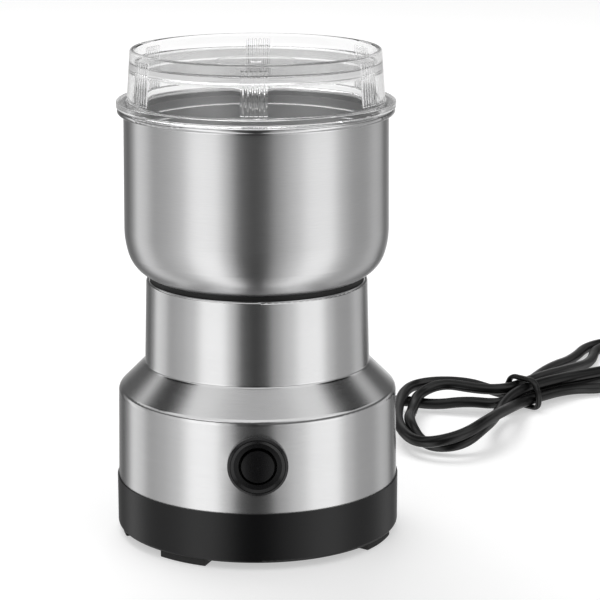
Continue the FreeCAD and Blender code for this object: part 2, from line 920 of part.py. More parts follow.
def makeMountScrews():
    length = deck_z - mount_screw_short - upper_bush_z
    return [screw(polar(mount_circle_r, a).x, polar(mount_circle_r, a).y, upper_bush_z,
                  mount_screw_head_r, mount_screw_head_h, mount_screw_r, length) for a in mount_angles]


# Brush gear lies along X beside the commutator
def makeHolders():
    half_y = brush_w / 2 + holder_wall
    half_z = brush_h / 2 + holder_wall
    holders = []
    for side in (-1, 1):
        x0, x1 = sorted((side * holder_in_x, side * holder_out_x))
        box = block(x0, x1, -half_y, half_y, brush_z - half_z, brush_z + half_z)
        f0, f1 = sorted((side * holder_foot_x, side * holder_foot_end))
        foot = block(f0, f1, -half_y, half_y, lower_bracket_z + bracket_t, brush_z)
        c0, c1 = sorted((side * (holder_in_x - 1), side * (holder_out_x - holder_wall)))
        slot = block(c0, c1, -brush_w / 2 - touch_gap, brush_w / 2 + touch_gap,
                     brush_z - brush_h / 2 - touch_gap, brush_z + brush_h / 2 + touch_gap)
        clear = post(riser_r + near_gap, 0, 0, lower_bracket_z, stack_z)
        holders.append(joined([box, foot]).cut([slot, clear]))
    return holders


def makeBrushes():
    brushes = []
    for side in (-1, 1):
        x0, x1 = sorted((side * brush_nose_x, side * (commutator_r + brush_len)))
        brush = block(x0, x1, -brush_w / 2, brush_w / 2, brush_z - brush_h / 2, brush_z + brush_h / 2)
        face = post(commutator_r + brush_air, 0, 0, brush_z - brush_h, brush_z + brush_h)
        brushes.append(brush.cut(face))
    return brushes


def arcPair(p0, t0, p1, t1):
    """Two arcs that leave p0 along t0, meet smoothly and reach p1 along t1."""
    v = p1 - p0
    t = t0 + t1
    k = 2.0 * (1.0 - t0.dot(t1))
    if k < 1e-9:
        d = v.dot(v) / (4.0 * v.dot(t0))
    else:
        d = (-v.dot(t) + math.sqrt(v.dot(t) ** 2 + k * v.dot(v))) / k
    joint = (p0 + p1 + (t0 - t1) * d) * 0.5
    pairs = []
    for a, b, tangent, sign in ((p0, joint, t0, 1.0), (p1, joint, t1, -1.0)):
        chord = b - a
        along = tangent * sign
        height = along.cross(chord).Length / chord.Length
        if height < 1e-7:
            pairs.append((a, None, b))
            continue
        side = along.cross(chord).cross(along).normalize()
        radius = chord.dot(chord) / (2.0 * chord.dot(side))
        centre = a + side * radius
        middle = (a - centre) + (b - centre)
        if chord.dot(along) < 0:
            middle = middle * -1.0
        pairs.append((a, centre + middle.normalize() * radius, b))
    first = pairs[0]
    second = (pairs[1][2], pairs[1][1], pairs[1][0])
    return [first, second]


def coilSpring(radius, wire, turns, start, end):
    """A compression spring as one tube: arcs follow a helix, a quarter turn at a time."""
    axis = end - start
    length = axis.Length
    along = axis.normalize()
    side = Vector(0, 0, 1) if abs(along.z) < 0.9 else Vector(1, 0, 0)
    across = along.cross(side)
    steps = turns * 4
    climb = length - 2 * wire
    pitch = climb / steps
    spin = radius * math.pi / 2
    points = []
    tangents = []
    for k in range(steps + 1):
        a = math.pi / 2 * k
        out = side * math.cos(a) + across * math.sin(a)
        turn = across * math.cos(a) - side * math.sin(a)
        points.append(start + along * (wire + pitch * k) + out * radius)
        tangents.append((turn * spin + along * pitch).normalize())
    edges = []
    for k in range(steps):
        for a, m, b in arcPair(points[k], tangents[k], points[k + 1], tangents[k + 1]):
            edges.append(Part.Arc(a, m, b).toShape())
    path = Part.Wire(edges)
    circle = Part.Wire([Part.Circle(points[0], tangents[0], wire).toShape()])
    return path.makePipeShell([circle], True, False)


def makeBrushSprings():
    springs = []
    for side in (-1, 1):
        start = Vector(side * (commutator_r + brush_len), 0, brush_z)
        end = Vector(side * (holder_out_x - holder_wall), 0, brush_z)
        springs.append(coilSpring(brush_spring_r, brush_spring_wire, brush_spring_turns, start, end))
    return springs


# Rotor
def makeShaft():
    return turned([
        (0, lower_bush_z - shaft_below),
        (shaft_end_r, lower_bush_z - shaft_below),
        (shaft_end_r, commutator_z - shaft_step_down),
        (shaft_r, commutator_z - shaft_step_down),
        (shaft_r, sleeve_top_z),
        (shaft_end_r, sleeve_top_z),
        (shaft_end_r, sleeve_top_z + blade_t + blade_nut_h),
        (0, sleeve_top_z + blade_t + blade_nut_h),
    ])


def makeArmatureCore():
    core = ring(core_r, shaft_r + touch_gap, stack_z, stack_top_z)
    cuts = []
    for a in around(core_slots):
        slot = block(core_r - slot_depth, core_r + 1, -slot_w / 2, slot_w / 2, stack_z - 1, stack_top_z + 1)
        slot.rotate(origin, up, a)
        cuts.append(slot)
    return core.cut(cuts)


def makeArmatureWinding():
    inner = shaft_r + touch_gap
    ends = []
    for low, high, edge in ((stack_z - winding_h, stack_z, 1), (stack_top_z, stack_top_z + winding_h, 2)):
        corners = [(inner, low), (winding_r, low), (winding_r, high), (inner, high)]
        ends.append(turned(corners, {edge: winding_round}))
    return ends


def makeCommutator():
    low = commutator_z
    high = low + commutator_h
    body = turned([
        (shaft_r + touch_gap, low),
        (commutator_r, low),
        (commutator_r, high),
        (riser_r, high),
        (riser_r, high + riser_h),
        (shaft_r + touch_gap, high + riser_h),
    ])
    cuts = []
    for a in around(commutator_bars):
        gap = block(commutator_r - bar_gap_depth, riser_r + 1, -bar_gap_w / 2, bar_gap_w / 2,
                    low - 1, high + riser_h + 1)
        gap.rotate(origin, up, a)
        cuts.append(gap)
    return body.cut(cuts)


def makeFan():
    inner = shaft_r + touch_gap
    parts = [ring(fan_r, inner, fan_z, fan_z + fan_disc_t), ring(fan_hub_r, inner, fan_z, fan_z + fan_h)]
    for a in around(fan_blades):
        blade = block(fan_hub_r - 1, fan_r, -fan_blade_t / 2, fan_blade_t / 2, fan_z, fan_z + fan_h)
        blade.rotate(Vector(fan_hub_r, 0, 0), up, fan_blade_turn)
        blade = blade.common(post(fan_r, 0, 0, fan_z, fan_z + fan_h))
        blade.rotate(origin, up, a)
        parts.append(blade)
    return joined(parts)


def makeWashers():
    upper_low = fan_z + fan_h
    lower_low = lower_bush_z + lower_bush_h + near_gap
    return [
        ring(washer_r, shaft_r + touch_gap, upper_low, upper_low + washer_t),
        ring(washer_r - 1, shaft_end_r + touch_gap, lower_low, lower_low + washer_t),
    ]


def makeHubSleeve():
    low = bowl_floor_z + seal_flange_t + seal_lip_h + near_gap
    return ring(sleeve_r, shaft_r + touch_gap, low, sleeve_top_z)


# Blade: two swept arms whose tips bend up
def makeBlade():
    low = sleeve_top_z
    tip = blade_reach - blade_flat
    lift = tip * math.tan(math.radians(blade_tip_turn))
    side = [
        Vector(-blade_root, 0, low),
        Vector(blade_flat, 0, low),
        Vector(blade_reach, 0, low + lift),
        Vector(blade_reach, 0, low + lift + blade_t),
        Vector(blade_flat, 0, low + blade_t),
        Vector(-blade_root, 0, low + blade_t),
        Vector(-blade_root, 0, low),
    ]
    strip = Part.Face(Part.makePolygon(side)).extrude(Vector(0, 3 * blade_w, 0))
    strip.translate(Vector(0, -1.5 * blade_w, 0))
    # The arm's plan: a circle's crescent side leads and a shallower one trails
    under = low - blade_t
    over = low + lift + 2 * blade_t
    lead = post(blade_sweep_r, blade_lead_x, blade_lead_y - blade_sweep_r, under, over)
    trail = post(blade_trail_r, blade_trail_x, -blade_trail_y - blade_trail_r, under, over)
    arm = strip.common(lead).cut(trail)
    arm = arm.common(post(blade_reach, 0, 0, under, over))
    other = arm.copy()
    other.rotate(origin, up, 180)
    hub = post(blade_hub_r, 0, 0, low, low + blade_t)
    blade = joined([hub, arm, other])
    return blade.cut(post(shaft_end_r + touch_gap, 0, 0, under, over))


def makeBladeNut():
    low = sleeve_top_z + blade_t
    nut = hexagon(blade_nut_flat, low, low + blade_nut_h)
    dome_r = blade_nut_flat / 2
    round_r = (dome_r ** 2 + blade_nut_dome ** 2) / (2 * blade_nut_dome)
    dome = Part.makeSphere(round_r, Vector(0, 0, low + blade_nut_h + blade_nut_dome - round_r))
    top = low + blade_nut_h
    dome = dome.common(post(dome_r, 0, 0, top - nut_dome_root, top + 2 * blade_nut_dome))
    nut = joined([nut, dome])
    return nut.cut(post(shaft_end_r + touch_gap, 0, 0, low - 1, top + nut_bore_up))


# Push switch: distances out from the axis stand for heights until the piece is laid along -Y
def makeBezel():
    bezel = turned(
        [
            (button_well_r, web_front),
            (button_well_r, bezel_dish),
            (bezel_crest_r - bezel_slope, bezel_dish + near_gap),
            (bezel_crest_r, bezel_crest),
            (bezel_r, bezel_front),
            (bezel_r, bezel_back),
            (barrel_r, bezel_back),
            (barrel_r, barrel_back),
            (body_nose_r + shank_gap, barrel_back),
            (body_nose_r + shank_gap, web_back),
            (stem_r + button_fit, web_back),
            (stem_r + button_fit, web_front),
        ],
        {3: bezel_crest_round, 4: bezel_edge_round},
    )
    bezel = toFront(bezel)
    keep = rod(barrel_r, Vector(0, 0, switch_z), Vector(0, -bezel_crest, switch_z))
    seat = filledShell(-seat_gap).cut(keep)
    return bezel.cut(seat)


def makeSwitchSeal():
    seal = toFront(ring(ring_nut_r, barrel_r + shank_gap, ring_nut_front, seam_r))
    return seal.common(filledShell(shell_t + seat_gap))


def makeRingNut():
    nut = ring(ring_nut_r, barrel_r + shank_gap, ring_nut_back, ring_nut_front)
    cuts = []
    for a in around(ring_nut_notches):
        notch = block(ring_nut_r - notch_depth, ring_nut_r + 1, -notch_w / 2, notch_w / 2,
                      ring_nut_back - 1, ring_nut_front + 1)
        notch.rotate(origin, up, a)
        cuts.append(notch)
    return toFront(nut.cut(cuts))


def makeSwitchBody():
    box = block(-body_half, body_half, -body_half, body_half, body_back, barrel_back)
    nose = post(body_nose_r, 0, 0, barrel_back - 1, body_nose)
    well = post(stem_r + near_gap, 0, 0, body_nose - body_well, body_nose + 1)
    return toFront(joined([box, nose]).cut(well))


def makeTerminals():
    tabs = []
    for side in (-1, 1):
        x = side * tab_x
        tabs.append(block(x - tab_t / 2, x + tab_t / 2, tab_y - tab_w / 2, tab_y + tab_w / 2,
                          tab_low_z, switch_z - body_half))
    return tabs


def makeButton():
    rise = button_front - button_edge
    round_r = (button_r ** 2 + rise ** 2) / (2 * rise)
    cap = post(button_r, 0, 0, button_back, button_front)
    ball = Part.makeSphere(round_r, Vector(0, 0, button_front - round_r))
    cap = cap.common(ball)
    hollow = post(button_r - button_wall, 0, 0, button_back - 1, button_top_in)
    stem = post(stem_r, 0, 0, stem_back, button_top_in + stem_root)
    return toFront(joined([cap.cut(hollow), stem]))


def makeButtonSpring():
    start = Vector(0, -web_front, switch_z)
    end = Vector(0, -button_top_in, switch_z)
    return coilSpring(button_spring_r, button_spring_wire, button_spring_turns, start, end)


# Cord entry
def makeGland():
    bore = cord_r + cord_fit
    flange_low = gland_seat_y - gland_flange_t
    body = turned([
        (bore, flange_low),
        (gland_flange_r, flange_low),
        (gland_flange_r, gland_seat_y),
        (entry_hole_r - touch_gap, gland_seat_y),
        (entry_hole_r - touch_gap, entry_y),
        (gland_collar_r, entry_y),
        (gland_collar_r, entry_y + gland_collar_t),
        (gland_root_r, entry_y + gland_collar_t),
        (gland_tip_r, gland_tip_y),
        (bore, gland_tip_y),
    ])
    start = entry_y + gland_collar_t
    pitch = (gland_tip_y - start) / (gland_grooves + gland_groove_first)
    cuts = []
    for k in range(gland_grooves):
        low = start + pitch * (k + gland_groove_first)
        outer = gland_root_r + (gland_tip_r - gland_root_r) * (low - start) / (gland_tip_y - start)
        floor_r = max(outer - gland_groove_depth, bore + gland_skin)
        cuts.append(ring(gland_root_r + 1, floor_r, low, low + gland_groove_w))
    return toRear(body.cut(cuts))


def makeClamp():
    low = cord_z + cord_r + touch_gap
    bar = block(-clamp_half, clamp_half, clamp_y - clamp_w / 2, clamp_y + clamp_w / 2, low, low + clamp_t)
    holes = [post(clamp_screw_r + shank_gap, s * clamp_post_x, clamp_y, low - 1, low + clamp_t + 1)
             for s in (-1, 1)]
    return bar.cut(holes)


def makeClampScrews():
    seat = cord_z + cord_r + touch_gap + clamp_t
    length = seat - cup_floor_z - clamp_screw_short
    return [screw(s * clamp_post_x, clamp_y, seat, clamp_screw_head_r, clamp_screw_head_h,
                  clamp_screw_r, length, upward=False) for s in (-1, 1)]


def makeTerminalBlock():
    sx, sy, sz = block_size
    body = block(block_x - sx / 2, block_x + sx / 2, block_y - sy / 2, block_y + sy / 2,
                 cup_floor_z, cup_floor_z + sz)
    cuts = []
    for k in (-1, 1):
        x = block_x + k * sx / 4
        cuts.append(post(block_screw_r, x, block_y, cup_floor_z + sz / 2, cup_floor_z + sz + 1))
        bore = Vector(x, block_y - sy, cup_floor_z + sz * block_wire_share)
        cuts.append(rod(wire_r + shank_gap, bore, bore + Vector(0, 2 * sy, 0)))
    return body.cut(cuts)


def makeCapacitor():
    sx, sy, sz = capacitor_size
    body = block(capacitor_x - sx / 2, capacitor_x + sx / 2, capacitor_y - sy / 2, capacitor_y + sy / 2,
                 cup_floor_z, cup_floor_z + sz)
    return body.makeFillet(capacitor_round, [e for e in body.Edges if abs(e.tangentAt(0).z) > 0.9])


def routeEdges(points, share=0.45):
    """Straight runs joined by tangent arcs, each as large as its two runs allow."""
    points = [Vector(*p) for p in points]
    edges = []
    radii = []
    here = points[0]
    for i in range(1, len(points) - 1):
        back = points[i - 1] - points[i]
        ahead = points[i + 1] - points[i]
        run = min(back.Length, ahead.Length)
        back.normalize()
        ahead.normalize()
        turn = math.pi - back.getAngle(ahead)
        radius = share * run / math.tan(turn / 2)
        start = points[i] + back * (share * run)
        end = points[i] + ahead * (share * run)
        middle = (back + ahead).normalize()
        deep = points[i] + middle * (radius / math.cos(turn / 2) - radius)
        edges.append(Part.makeLine(here, start))
        edges.append(Part.Arc(start, deep, end).toShape())
        radii.append(round(radius, 1))
        here = end
    edges.append(Part.makeLine(here, points[-1]))
    return edges, radii


def routeTube(points, radius):
    edges, radii = routeEdges(points)
    path = Part.Wire(edges)
    first = Vector(*points[0])
    heading = Vector(*points[1]) - first
    circle = Part.Wire([Part.Circle(first, heading, radius).toShape()])
    tube = path.makePipeShell([circle], True, False)
    return tube, radii, path.Length


def makeInnerLeads():
    jacket = rod(cord_r, Vector(0, jacket_end_y, cord_z), Vector(0, cord_start_y, cord_z))
    sx, sy, sz = block_size
    wires = [jacket]
    wire_z = cup_floor_z + sz * block_wire_share
    rear = block_y + sy / 2 - wire_bite
    front = block_y - sy / 2 + wire_bite
    turn_run = (jacket_end_y - rear) * wire_turn_share
    for k in (-1, 1):
        x = block_x + k * sx / 4
        back_run = [
            (k * wire_side, jacket_end_y, cord_z),
            (k * wire_side, jacket_end_y - turn_run, cord_z),
            (x, rear + turn_run, wire_z),
            (x, rear, wire_z),
        ]
        wires.append(routeTube(back_run, wire_r)[0])
        reach = k * tab_x
        front_run = [
            (x, front, wire_z),
            (x, wire_front_y, wire_z),
            (reach, tab_y + wire_tab_run, wire_z),
            (reach, tab_y, wire_z + wire_lift),
            (reach, tab_y, tab_low_z),
        ]
        wires.append(routeTube(front_run, wire_r)[0])
    return wires


# Mains cord
def heading(degrees):
    return polar(1.0, degrees)


def atWaist(side, z, degrees):
    """A station at the tie; side counts across the hank, towards its back."""
    return Vector(tie_x, tie_y, z) + heading(waist_turn + 90) * side, heading(degrees)


def loopStations(loop, out, lowered, drop):
    """The loop's stations, moved outwards; the one nearest to the tie on the back is lowered."""
    stations = []
    for k, (x, y, z, degrees) in enumerate(loop):
        low = z - drop if k == lowered else z
        stations.append((Vector(x, y, low) + heading(degrees - 90) * out, heading(degrees)))
    return stations


def hankStations():
    """Right end, left end, right end, left end: the second loop lies outside the first."""
    ahead = heading(waist_turn)
    last_right = len(right_loop) - 1
    stations = [(Vector(tie_x, tie_y, waist_low) + ahead * waist_past, ahead)]
    stations += loopStations(right_loop, 0, last_right, 0)
    stations.append(atWaist(waist_half, waist_high, first_back))
    stations += loopStations(left_loop, 0, 0, 0)
    stations.append(atWaist(-waist_half, waist_high, first_front))
    stations += loopStations(right_loop, nest_step, last_right, nest_drop_right)
    stations.append(atWaist(2 * waist_half, waist_low, second_back))
    stations += loopStations(left_loop, nest_step, 0, nest_drop_left)
    stations.append(atWaist(-2 * waist_half, waist_low, second_front))
    return stations


def tubeOn(edges, start, along, radius):
    path = Part.Wire(edges)
    circle = Part.Wire([Part.Circle(start, along, radius).toShape()])
    return path, path.makePipeShell([circle], True, False)


def makeHank():
    stations = hankStations()
    edges = []
    radii = []
    for (p0, t0), (p1, t1) in zip(stations[:-1], stations[1:]):
        for a, m, b in arcPair(p0, t0, p1, t1):
            arc = Part.Arc(a, m, b).toShape()
            radii.append(arc.Curve.Radius)
            edges.append(arc)
    last, turn = stations[-1]
    edges.append(Part.makeLine(last, last + turn * waist_past))
    path, tube = tubeOn(edges, stations[0][0], stations[0][1], cord_r)
    report("cord_hank", path, tube, radii)
    points = path.discretize(Distance=gap_step)
    skip = int(6 * cord_r / gap_step)
    count = len(points)
    least = min((points[i] - points[k]).Length for i in range(count) for k in range(i + skip, count))
    print("cord_hank least gap to itself", round(least - 2 * cord_r, 2), "mm")
    return tube


def report(name, path, tube, radii):
    section = math.pi * cord_r ** 2
    share = tube.Volume / (section * path.Length)
    print(name, "length", round(path.Length, 1), "volume over section times length", round(share, 4))
    print(name, "arc radii", sorted(round(r, 1) for r in radii)[:6], "least", round(min(radii), 1))


def makeLead():
    ahead = heading(waist_turn)
    middle = Vector(tie_x, tie_y, waist_low)
    before = middle - ahead * waist_before - Vector(0, 0, waist_sag)
    route = [(0, cord_start_y, cord_z), (0, lead_straight_y, cord_z)] + lead_route
    route += [tuple(before), tuple(middle), tuple(middle + ahead * waist_past)]
    edges, radii = routeEdges(route)
    path, tube = tubeOn(edges, Vector(*route[0]), Vector(0, 1, 0), cord_r)
    report("cord_lead", path, tube, radii)
    return tube


def makeTail():
    """From the hank's free end to the plug, which lies behind the hank's right end."""
    last, ahead = hankStations()[-1]
    first = last + ahead * waist_past
    route = [tuple(first), tuple(first + ahead * tail_run)] + tail_route + [(plug_x, plug_y, plug_z)]
    edges, radii = routeEdges(route)
    path, tube = tubeOn(edges, first, ahead, cord_r)
    report("cord_tail", path, tube, radii)
    return tube


def toPlug(solid):
    """Lays a piece drawn along +X from the origin at the end of the tail."""
    solid.rotate(origin, up, plug_turn)
    solid.translate(Vector(plug_x, plug_y, plug_z))
    return solid


def makePlug():
    half_t = plug_t / 2
    body = block(plug_grip, plug_len, -plug_w / 2, plug_w / 2, -half_t, half_t)
    body = body.makeFillet(plug_round, body.Edges)
    grip_end = half_t * plug_grip_share
    grip = Part.makeCone(plug_neck_r, grip_end, plug_grip + plug_round + 1, origin, Vector(1, 0, 0))
    return toPlug(joined([body, grip]))


def makePins():
    pins = []
    for side in (-1, 1):
        root = Vector(plug_len, side * pin_pitch / 2, 0)
        sleeve = rod(pin_r, root, root + Vector(pin_len, 0, 0))
        pins.append(toPlug(sleeve))
    return pins


def makeTie():
    """A closed oval band round the bundle at the waist."""
    clear = cord_r + tie_r + tie_gap
    low_side = 2 * waist_half + clear
    high_side = waist_half + clear
    across = heading(waist_turn + 90)

    def at(side, z):
        return Vector(tie_x, tie_y, z) + across * side

    corners = [
        at(-low_side, waist_low - clear),
        at(low_side, waist_low - clear),
        at(low_side, waist_low + cord_r),
        at(high_side, waist_high + clear),
        at(-high_side, waist_high + clear),
        at(-low_side, waist_low + cord_r),
    ]
    edges = []
    ends = []
    for k in range(len(corners)):
        corner = corners[k]
        back = (corners[k - 1] - corner).normalize()
        ahead = (corners[(k + 1) % len(corners)] - corner).normalize()
        half = back.getAngle(ahead) / 2
        bend = tie_cut * math.tan(half)
        deep = corner + (back + ahead).normalize() * (bend / math.sin(half) - bend)
        ends.append((corner + back * tie_cut, deep, corner + ahead * tie_cut))
    for k in range(len(ends)):
        a, deep, b = ends[k]
        edges.append(Part.Arc(a, deep, b).toShape())
        edges.append(Part.makeLine(b, ends[(k + 1) % len(ends)][0]))
    begin = ends[0][0]
    along = (corners[0] - begin).normalize()
    wide = heading(waist_turn)
    thick = along.cross(wide)
    oval = Part.Ellipse(begin + wide * tie_half_w, begin + thick * tie_r, begin)
    return Part.Wire(edges).makePipeShell([Part.Wire([oval.toShape()])], True, False)


# Clear lid: a cup with a sunk top panel, a flange that rests on the rim and a skirt that plugs in
def lidWallRadius(z):
    share = (z - lid_flange_z) / (lid_top_z - lid_flange_z)
    return lid_foot_r + (lid_top_r - lid_foot_r) * share


def makeLid():
    flange_top = lid_flange_z + lid_flange_t
    lid_rounds = {
        1: lid_inner_round,
        4: lid_edge_round,
        7: lid_edge_round,
        8: lid_edge_round,
        9: lid_lip_round,
        10: lid_lip_round,
        11: lid_panel_round,
    }
    under = lid_panel_z - lid_panel_t
    lid = turned(
        [
            (0, under),
            (lidWallRadius(under) - lid_wall_t, under),
            (lid_skirt_r - lid_wall_t, lid_flange_z),
            (lid_skirt_r - lid_wall_t, lid_skirt_z),
            (lid_skirt_r, lid_skirt_z),
            (lid_skirt_r, lid_flange_z),
            (lid_flange_r, lid_flange_z),
            (lid_flange_r, flange_top),
            (lidWallRadius(flange_top), flange_top),
            (lid_top_r, lid_top_z),
            (lid_top_r - lid_wall_t, lid_top_z),
            (lidWallRadius(lid_panel_z) - lid_wall_t, lid_panel_z),
            (0, lid_panel_z),
        ],
        lid_rounds,
    )
    low = flange_top + rib_low
    high = lid_top_z - rib_high
    sleeve = turned([
        (lidWallRadius(low) - rib_root, low),
        (lidWallRadius(low) + rib_proud, low),
        (lidWallRadius(high) + rib_proud, high),
        (lidWallRadius(high) - rib_root, high),
    ])
    bars = []
    for group in around(rib_groups, rib_turn):
        for k in range(rib_count):
            a = group + (k - (rib_count - 1) / 2) * rib_pitch - 90
            bar = block(lid_top_r - lid_wall_t, lid_foot_r + lid_wall_t, -rib_w / 2, rib_w / 2,
                        low - 1, high + 1)
            bar.rotate(origin, up, a)
            bars.append(bar)
    ribs = sleeve.common(bars)
    mark_low = lid_panel_z - lid_mark_root
    mark_high = lid_panel_z + lid_ring_h
    mark = ring(lid_ring_r + lid_ring_w / 2, lid_ring_r - lid_ring_w / 2, mark_low, mark_high)
    gate = post(lid_gate_r, 0, 0, mark_low, mark_high)
    return joined([lid] + ribs.Solids + [mark, gate])


def makeGrinder():
    save("base_cup", makeBaseCup())
    save("rubber_feet", makeFeet())
    save("base_screws", makeBaseScrews())
    save("outer_shell", makeOuterShell())
    save("inner_frame", makeInnerFrame())
    save("bowl", makeBowl())
    save("bowl_gasket", makeGasket())
    save("bowl_studs", makeStuds())
    save("bowl_nuts", makeNuts())
    save("shaft_seal", makeShaftSeal())
    save("motor_top_bracket", makeUpperBracket())
    save("motor_bottom_bracket", makeLowerBracket())
    save("upper_bush", makeBush(upper_bush_r, shaft_r, upper_bush_z, upper_bush_h))
    save("lower_bush", makeBush(lower_bush_r, shaft_end_r, lower_bush_z, lower_bush_h))
    save("stator_core", makeStator())
    save("field_coils", makeFieldCoils())
    save("stator_screws", makeStatorScrews())
    save("rubber_mounts", makeRubberMounts())
    save("mount_screws", makeMountScrews())
    save("brush_holders", makeHolders())
    save("carbon_brushes", makeBrushes())
    save("brush_springs", makeBrushSprings())
    save("drive_shaft", makeShaft())
    save("armature_core", makeArmatureCore())
    save("armature_winding", makeArmatureWinding())
    save("commutator", makeCommutator())
    save("cooling_fan", makeFan())
    save("thrust_washers", makeWashers())
    save("hub_sleeve", makeHubSleeve())
    save("blade", makeBlade())
    save("blade_nut", makeBladeNut())
    save("switch_bezel", makeBezel())
    save("switch_seal", makeSwitchSeal())
    save("switch_ring_nut", makeRingNut())
    save("switch_body", makeSwitchBody())
    save("switch_terminals", makeTerminals())
    save("button_cap", makeButton())
    save("button_spring", makeButtonSpring())
    save("cord_gland", makeGland())
    save("cord_clamp", makeClamp())
    save("clamp_screws", makeClampScrews())
    save("terminal_block", makeTerminalBlock())
    save("capacitor", makeCapacitor())
    save("inner_leads", makeInnerLeads())
    save("lid", makeLid())
    save("cord_lead", makeLead())
    save("cord_hank", makeHank())
    save("cord_tail", makeTail())
    save("plug_body", makePlug())
    save("plug_pins", makePins())
    save("cord_tie", makeTie())


makeGrinder()
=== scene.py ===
import bpy
import math
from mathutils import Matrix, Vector


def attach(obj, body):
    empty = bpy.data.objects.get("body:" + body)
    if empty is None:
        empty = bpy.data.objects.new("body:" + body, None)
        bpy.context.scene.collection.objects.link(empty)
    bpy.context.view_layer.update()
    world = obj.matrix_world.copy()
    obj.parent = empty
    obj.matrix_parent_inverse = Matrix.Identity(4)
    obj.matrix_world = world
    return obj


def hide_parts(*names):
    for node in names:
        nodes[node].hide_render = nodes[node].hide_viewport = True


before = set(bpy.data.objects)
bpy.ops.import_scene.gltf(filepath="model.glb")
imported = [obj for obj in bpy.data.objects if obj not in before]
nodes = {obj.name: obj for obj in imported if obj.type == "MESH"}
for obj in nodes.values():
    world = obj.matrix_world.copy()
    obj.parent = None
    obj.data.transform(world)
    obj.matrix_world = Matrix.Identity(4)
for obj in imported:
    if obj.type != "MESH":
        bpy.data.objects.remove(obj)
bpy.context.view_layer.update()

scene = bpy.context.scene
mm = 0.001


# camera, at the photograph's angle
view = {
    "place": (0.0, -0.818, 0.280),
    "down": 13.46,           # degrees below level
    "right": 1.08,           # degrees turned to the right
    "lens": 140.5,
    "sensor": 36.0,
    "clip": (0.05, 50.0),
}

camData = bpy.data.cameras.new("photoCamera")
camData.lens = view["lens"]
camData.sensor_width = view["sensor"]
camData.clip_start, camData.clip_end = view["clip"]
cam = bpy.data.objects.new("photoCamera", camData)
cam.location = view["place"]
cam.rotation_euler = (math.radians(90 - view["down"]), 0.0, math.radians(-view["right"]))
scene.collection.objects.link(cam)
scene.camera = cam
print("camera set")


# small helpers for shader trees
def grey(v):
    return (v, v, v, 1.0)


class Tree:
    # adds nodes to a material or a world and joins them in one call
    def __init__(self, owner):
        owner.use_nodes = True
        self.tree = owner.node_tree
        self.tree.nodes.clear()

    def add(self, kind, **values):
        node = self.tree.nodes.new(kind)
        for name, value in values.items():
            self.put(node, name.replace("_", " "), value)
        return node

    def put(self, node, name, value):
        # an output is linked, anything else is set on the socket
        socket = node.inputs[name]
        if hasattr(value, "links"):
            self.tree.links.new(value, socket)
        else:
            socket.default_value = value

    def math(self, how, a, b=0.0, c=0.0):
        node = self.tree.nodes.new("ShaderNodeMath")
        node.operation = how
        for i, v in enumerate((a, b, c)):
            self.put(node, i, v)
        return node.outputs[0]

    def ramp(self, fac, stops):
        node = self.tree.nodes.new("ShaderNodeValToRGB")
        node.color_ramp.interpolation = "EASE"
        while len(node.color_ramp.elements) < len(stops):
            node.color_ramp.elements.new(0.5)
        for element, (place, tone) in zip(node.color_ramp.elements, stops):
            element.position = place
            element.color = grey(tone)
        self.put(node, "Fac", fac)
        return node.outputs["Color"]

    def band(self, value, low, high, toLow=0.0, toHigh=1.0):
        # a soft step from toLow to toHigh
        node = self.add("ShaderNodeMapRange", Value=value, From_Min=low, From_Max=high,
                        To_Min=toLow, To_Max=toHigh)
        node.interpolation_type = "SMOOTHSTEP"
        return node.outputs[0]

    def window(self, value, fadeIn, fadeOut):
        # 1 between the two fades and 0 outside them
        return self.math("MULTIPLY", self.band(value, *fadeIn),
                         self.band(value, *fadeOut, 1.0, 0.0))

    def mix(self, fac, a, b, how="MIX"):
        node = self.tree.nodes.new("ShaderNodeMix")
        node.data_type = "RGBA"
        node.blend_type = how
        # the node's first input is the share, its colours are inputs 6 and 7
        for i, v in ((0, fac), (6, a), (7, b)):
            self.put(node, i, v)
        return node.outputs[2]

    def mixShaders(self, fac, a, b):
        node = self.add("ShaderNodeMixShader", Fac=fac)
        self.put(node, 1, a)
        self.put(node, 2, b)
        return node.outputs[0]

    def noise(self, place, scale, detail, **values):
        return self.add("ShaderNodeTexNoise", Vector=place, Scale=scale, Detail=detail,
                        **values).outputs["Fac"]

    def objectPlace(self):
        return self.add("ShaderNodeTexCoord").outputs["Object"]

    def split(self, vector):
        return self.add("ShaderNodeSeparateXYZ", Vector=vector).outputs

    def plain(self, tone, blue=None):
        # a grey colour, or one with its own blue
        return self.add("ShaderNodeCombineColor", Red=tone, Green=tone,
                        Blue=blue or tone).outputs[0]

    def spread(self, value, width, middle):
        # a value from 0 to 1 becomes a range of this width round the middle
        return self.math("MULTIPLY_ADD", value, width, middle - width / 2)

    def turnRound(self, xyz):
        return self.math("ARCTAN2", xyz[1], xyz[0])

    def reach(self, xyz):
        # distance from the upright axis
        squares = [self.math("MULTIPLY", v, v) for v in (xyz[0], xyz[1])]
        return self.math("SQRT", self.math("ADD", *squares))

    def degrees(self, radians):
        return self.math("MULTIPLY", radians, 180 / math.pi)

    def bump(self, height, strength, depth):
        return self.add("ShaderNodeBump", Height=height, Strength=strength,
                        Distance=depth).outputs["Normal"]

    def principled(self, **values):
        return self.add("ShaderNodeBsdfPrincipled", **values).outputs[0]

    def finish(self, kind, surface):
        self.add(kind, Surface=surface)


